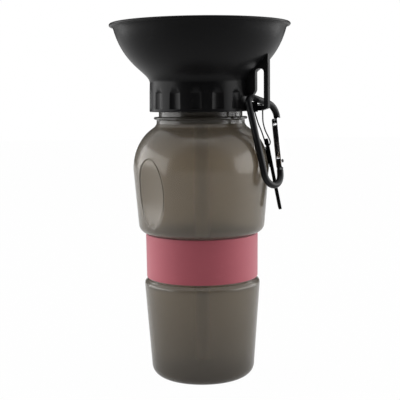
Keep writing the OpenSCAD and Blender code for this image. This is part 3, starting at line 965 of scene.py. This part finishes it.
class TB_OT_cord(bpy.types.Operator):
    """Cord loop and hang strip"""

    bl_idname = "travel_bottle.cord"
    bl_label = "Cord and strip"

    def execute(self, context):
        """Makes the cord and the strip."""
        s = context.scene.tb_cord
        black = tuple(s.black)
        route = smooth_route(CORD_ROUTE, 4)
        measured = sum((Vector(b) - Vector(a)).length for a, b in zip(route[:-1], route[1:]))
        radius = s.diameter / MM / 2
        path = [tuple(c / MM for c in p) for p in route]
        form = Form().swept(path, radius, 16, (6.0, measured / 0.0028), (-0.35, 0.94, 0))
        finish = braided("Braided cord", black)
        cord = form.make("cord_loop", finish, "lid", "black_cord", replaces=["hang_cord"])

        wide, long, thick, corner = 10.0, 49.5, 1.8, 2.5
        x, y = wide / 2 - corner, corner - long
        line = []
        for k, centre in enumerate(((x, -corner), (-x, -corner), (-x, y), (x, y))):
            line += arc(centre, corner, 90 * k, 90 * k + 90, 8)
        eye = arc((0, -5), 1.1, 0, 345, 23)
        place = Matrix.Translation((44.9, -6, 166)) @ spin(-11, "Y") @ spin(90, "Z") @ spin(90, "X")
        form = Form().plate(line, -thick / 2, thick / 2, [eye])
        finish = braided("Woven strip", black, 44.0, 230.0)
        strip = form.make("strip", finish, "lid", "black_strip", 0.3 * MM, place, ["hang_strip"])

        eyelet = Form()
        ring = [(1.1 + 0.28 * cos(a), 0.28 * sin(a)) for a in once_round(12)]
        for side in (-1, 1):
            eyelet.turned([(r, z + side * thick / 2) for r, z in ring], 32)
        eyelet.moved(Matrix.Translation((0, -5, 0)))
        finish = black_moulding("Eyelet black", black)
        rim = eyelet.make("strip_eyelet", finish, "lid", "black_strip", matrix=place)

        tail = [(-0.5, -5.6, -1.5), (-2.2, -7.0, -1.45), (-3.6, -9.5, -1.4)]
        tail += [(-3.9, -13.0, -1.4), (-3.9, -19.3, -1.4)]
        form = Form().swept(smooth_route(tail, 6), radius, 12, (6.0, 6.0), (0, 0, 1))
        finish = braided("Cord end", black)
        free_end = form.make("cord_end", finish, "lid", "black_cord", matrix=place)

        # Three layers of turns round the handle's lower bar, flat against its sides
        hitch = Form()
        for first, turns, out in ((35.9, 6, 0.45), (36.4, 5, 1.25), (36.9, 4, 2.05)):
            path = []
            for k in range(turns * 32 + 1):
                a = 2 * pi * k / 32
                across = max(-1.0, min(1.0, 1.5 * cos(a))) * (2.0 + out)
                rise = max(-1.0, min(1.0, 1.5 * sin(a))) * (1.7 + (out if sin(a) > 0 else 0.45))
                path.append((first + 0.95 * k / 32, 187.2 + rise, across))
            hitch.swept(path, radius, 12, (6.0, turns * 6.0))
        finish = braided("Hitch cord", black)
        wraps = hitch.make("cord_hitch", finish, "lid", "black_cord", matrix=handle_place())
        return {"FINISHED"}


class TB_OT_bottle(bpy.types.Operator):
    """Squeeze bottle with its threaded neck"""

    bl_idname = "travel_bottle.bottle"
    bl_label = "Bottle"

    def execute(self, context):
        """Makes the bottle."""
        s = context.scene.tb_bottle
        wall, edge = s.wall / MM, s.edge / MM
        finish = smoke_plastic("Smoke plastic", tuple(s.tint), tuple(s.deep))
        outside = []
        line = soften(bottle_outside(), edge, closed=False)
        for a, b in zip(line[:-1], line[1:]):
            outside += spread([a, b], 0.42 if FLAT_LOW < a[1] < FLAT_HIGH else 1.6)[:-1]
        outside.append(line[-1])
        inside = spread(soften(bottle_inside(wall), edge, closed=False), 2.4)
        profile = [p for p in outside if FLAT_LOW - 2 < p[1] < FLAT_HIGH + 2 and p[0] > 40]
        outer = finger_flat(profile, 0.0, flat_edge(profile))
        inner = finger_flat(profile, wall)
        angles = round_angles(0.32, 360 / s.segments)
        rows = [level_ring(r, z, angles, outer) for r, z in outside]
        rows += [level_ring(r, z, angles, inner) for r, z in inside]
        form = Form().tunnel(rows)
        form.make("bottle_wall", finish, "bottle", "smoke_plastic", replaces=["bottle"])

        section = [(-1.1, -0.2), (-0.45, 1.15), (0.45, 1.15), (1.1, -0.2)]
        form = thread(NECK_R, section, low=187.4, turns=2.0, count=200, taper=0.6)
        form.make("neck_thread", finish, "bottle", "smoke_plastic", 0.15 * MM)
        return {"FINISHED"}


class TB_OT_band(bpy.types.Operator):
    """Silicone grip band"""

    bl_idname = "travel_bottle.band"
    bl_label = "Grip band"

    def execute(self, context):
        """Makes the band."""
        s = context.scene.tb_bottle
        r0, r1 = GROOVE_R + 0.02, GROOVE_R + 1.7
        low, high = BAND_LOW + 0.03, BAND_HIGH - 0.03
        line = [(r0, low), (r1 - 0.25, low), (r1 - 0.2, BAND_LOW + 1.2)]
        line += [(r1, BAND_HIGH - 1.2), (r1 - 0.1, high), (r0, high)]
        line = soften(line, 0.5, steps=5)
        line = spread(line + line[:1], 1.5)[:-1]
        form = Form().turned(line, s.segments)
        finish = band_silicone("Band silicone", tuple(s.band))
        form.make("band", finish, "bottle", "pink_silicone", replaces=["grip_band"])
        return {"FINISHED"}


class TB_OT_lid(bpy.types.Operator):
    """Bowl lid, handle plate, inner thread, seal and dip tube"""

    bl_idname = "travel_bottle.lid"
    bl_label = "Bowl lid"

    def execute(self, context):
        """Makes the lid."""
        s = context.scene.tb_lid
        finish = black_moulding("Black moulding", tuple(s.black))
        line = soften(lid_line(), s.edge / MM)
        fine = []
        for a, b in zip(line, line[1:] + line[:1]):
            on_skirt = a[0] > 34 and a[1] < 199 and b[1] < 199 and b[0] > 34
            fine += spread([a, b], 0.45 if on_skirt else 2.2)[:-1]

        # Two rings close together, for the sharp step where the scallops start
        low = SCALLOP[2]
        fine = [p for p in fine if not (p[0] > 34.5 and abs(p[1] - low) < 0.12)]
        at = next(i for i, p in enumerate(fine) if p[0] > 34.5 and p[1] > low)
        fine[at:at] = [(35.195, low - 0.02), (35.195, low + 0.02)]
        form = Form().turned(fine, s.segments, scallops)
        form.make("bowl", finish, "lid", "black_plastic", replaces=["bowl_lid"])

        form = Form().plate(handle_outline(), -2.0, 2.0)
        form.make("handle", finish, "lid", "black_plastic", s.handle_edge, handle_place())

        section = [(-1.0, 0.25), (-0.4, -0.75), (0.4, -0.75), (1.0, 0.25)]
        form = thread(CAVITY_R, section, low=190.2, turns=1.6, count=160, taper=0)
        form.make("lid_thread", finish, "lid", "black_plastic", 0.15 * MM)

        line = [(23.6, 204.6), (23.6, 179.2), (24.0, 178.4)]
        line += [(24.6, 178.4), (25.3, 180.2), (25.3, 204.6)]
        form = Form().turned(soften(line, 0.3), 180)
        form.make("lid_plug", finish, "lid", "black_plastic")

        line = rectangle(25.5, 30.5, 203.52, 204.68)
        form = Form().turned(soften(line, 0.3), 180)
        finish = soft_silicone("Seal silicone", (0.60, 0.60, 0.58))
        form.make("seal", finish, "seal", "clear_silicone", replaces=["seal_ring"])

        # The tube's foot is flat, and cut away on a slant at one side
        top = [level_ring(r, 204.5, once_round(72)) for r in (4.0, 5.0)]
        slant = tan(radians(30))
        foot = [[(x, y, max(10.0, 8.0 - x * slant)) for x, y, z in row] for row in reversed(top)]
        form = Form().tunnel(top + foot, loop_rows=True)
        finish = tube_plastic("Tube plastic", (0.86, 0.85, 0.82))
        form.make("tube", finish, "tube", "natural_plastic", 0.12 * MM, replaces=["dip_tube"])
        return {"FINISHED"}


class TB_OT_carabiner(bpy.types.Operator):
    """Carabiner body, gate, pin and spring"""

    bl_idname = "travel_bottle.carabiner"
    bl_label = "Carabiner"

    def execute(self, context):
        """Makes the carabiner."""
        s = context.scene.tb_clip
        radius = s.radius / MM
        dark = anodised("Anodised bar", tuple(s.bar))
        silver = bare_metal("Bare gate", tuple(s.gate), 0.28)
        steel = bare_metal("Spring steel", (0.62, 0.62, 0.63), 0.18)

        path = bar_path()
        form = Form().swept(path, radius, 36, (4.0, 40.0))

        # The tongue, from the bar's heel to the pin
        end = Vector(path[-1][:2])
        up = (Vector(PIVOT) - end).normalized()
        side = Vector((up.y, -up.x))
        heel = end - 0.5 * up
        turn = degrees(atan2(-side.y, -side.x))
        line = [tuple(heel - 0.8 * radius * side)] + arc(PIVOT, 2.0, turn, turn - 180, 20)
        line += [tuple(heel + 0.8 * radius * side)]
        form.plate(line, -1.25, 1.25, [arc(PIVOT, 0.8, 0, 345, 23)])

        # The nose, a T that the closed gate holds
        nose = Matrix.Translation((*PIVOT, 0)) @ spin(GATE_LEAN, "Z")
        form.plate(rectangle(-0.7, 1.2, 26.9, 30.8), -0.75, 0.75, place=nose)
        form.plate(rectangle(-0.7, 1.2, 26.9, 28.5), -1.25, 1.25, place=nose)
        slot = "anodised_aluminium"
        form.make("clip_bar", dark, "carabiner", slot, 0.16 * MM, hung(), ["carabiner_body"])

        # The gate: two cheeks, the back between them, two tabs at the nose and the spring's stop
        cheek = [(-1.0, -4.5), (-1.5, -3.6), (-2.4, 24), (-2.4, 29.1), (-1.6, 29.9)]
        cheek += [(0.85, 29.9), (1.65, 29.1), (1.65, -3.1), (0.85, -4.5)]
        cheek = soften(cheek, 0.9, limit=20)
        eye = arc((0, 0), 0.75, 0, 345, 23)
        form = Form().plate(cheek, 1.6, 2.3, [eye]).plate(cheek, -2.3, -1.6, [eye])
        for sides in ((-1.7, 1.7, 3.9, 25.8), (-1.7, -1.1, 28.7, 29.5), (1.1, 1.7, 28.7, 29.5)):
            form.plate(rectangle(*sides), 0.95, 1.65, place=spin(90, "Y"))
        form.plate(rectangle(-1.35, 1.3, 12.5, 13.1), -1.65, 1.65)
        slot = "bare_aluminium"
        form.make("clip_gate", silver, "gate", slot, 0.28 * MM, at_gate(), ["carabiner_gate"])

        line = [(0.01, -2.62), (0.7, -2.6), (1.1, -2.5), (1.25, -2.35), (1.25, -2.3), (0.75, -2.3)]
        line += [(0.75, 2.3), (1.25, 2.3), (1.25, 2.35), (1.1, 2.5), (0.7, 2.6), (0.01, 2.62)]
        form = Form().turned(line, 32, closed=False)
        finish = bare_metal("Dark steel", (0.03, 0.03, 0.03), 0.3)
        form.make("clip_rivet", finish, "gate", "steel", matrix=at_gate(), replaces=["gate_pin"])

        count, turns = 220, 7
        coil = []
        for i in range(count + 1):
            t = i / count
            a = 2 * pi * turns * t
            coil.append((-0.35 + cos(a), 5.375 + 6.85 * t, sin(a)))
        form = Form().swept(coil, 0.175, 10)
        form.make("clip_spring", steel, "gate", "steel", matrix=at_gate(), replaces=["gate_spring"])

        line = [(0.01, 2.3), (1.0, 2.3), (1.2, 2.5), (1.2, 5.2)]
        line += [(0.7, 5.2), (0.7, 6.5), (0.5, 6.7), (0.01, 6.7)]
        stand = at_gate() @ (Matrix.Translation((-0.35, 0, 0)) @ spin(-90, "X"))
        form = Form().turned(line, 28, closed=False)
        form.make("clip_pusher", steel, "gate", "steel", matrix=stand, replaces=["spring_pusher"])
        return {"FINISHED"}


class TB_PT_panel(bpy.types.Panel):
    """The bottle's sizes, colours and pieces"""

    bl_idname = "TB_PT_panel"
    bl_label = "Travel bottle"
    bl_space_type = "VIEW_3D"
    bl_region_type = "UI"
    bl_category = "Travel bottle"

    def draw(self, context):
        """Lists each group of settings above its operators."""
        layout = self.layout
        for name, group, operators in PANEL:
            box = layout.box()
            settings = getattr(context.scene, name)
            for key in group.__annotations__:
                box.prop(settings, key)
            for operator in operators:
                box.operator(operator.bl_idname)


# Each group of settings with its name on the scene and the operators that use it
PANEL = (
    ("tb_stage", TB_Stage, (TB_OT_stage,)),
    ("tb_cord", TB_Cord, (TB_OT_cord,)),
    ("tb_bottle", TB_Bottle, (TB_OT_bottle, TB_OT_band)),
    ("tb_lid", TB_Lid, (TB_OT_lid,)),
    ("tb_clip", TB_Clip, (TB_OT_carabiner,)),
)


def register():
    """Adds the settings, operators and panel."""
    for name, group, operators in PANEL:
        for made in (group, *operators):
            bpy.utils.register_class(made)
        setattr(bpy.types.Scene, name, PointerProperty(type=group))
    bpy.utils.register_class(TB_PT_panel)


def unregister():
    """Takes them away again."""
    bpy.utils.unregister_class(TB_PT_panel)
    for name, group, operators in reversed(PANEL):
        delattr(bpy.types.Scene, name)
        for made in (*operators, group):
            bpy.utils.unregister_class(made)


def main():
    """Builds everything in order."""
    register()
    bpy.ops.travel_bottle.stage()
    bpy.ops.travel_bottle.cord()
    bpy.ops.travel_bottle.bottle()
    bpy.ops.travel_bottle.band()
    bpy.ops.travel_bottle.lid()
    bpy.ops.travel_bottle.carabiner()


if __name__ == "__main__":
    main()
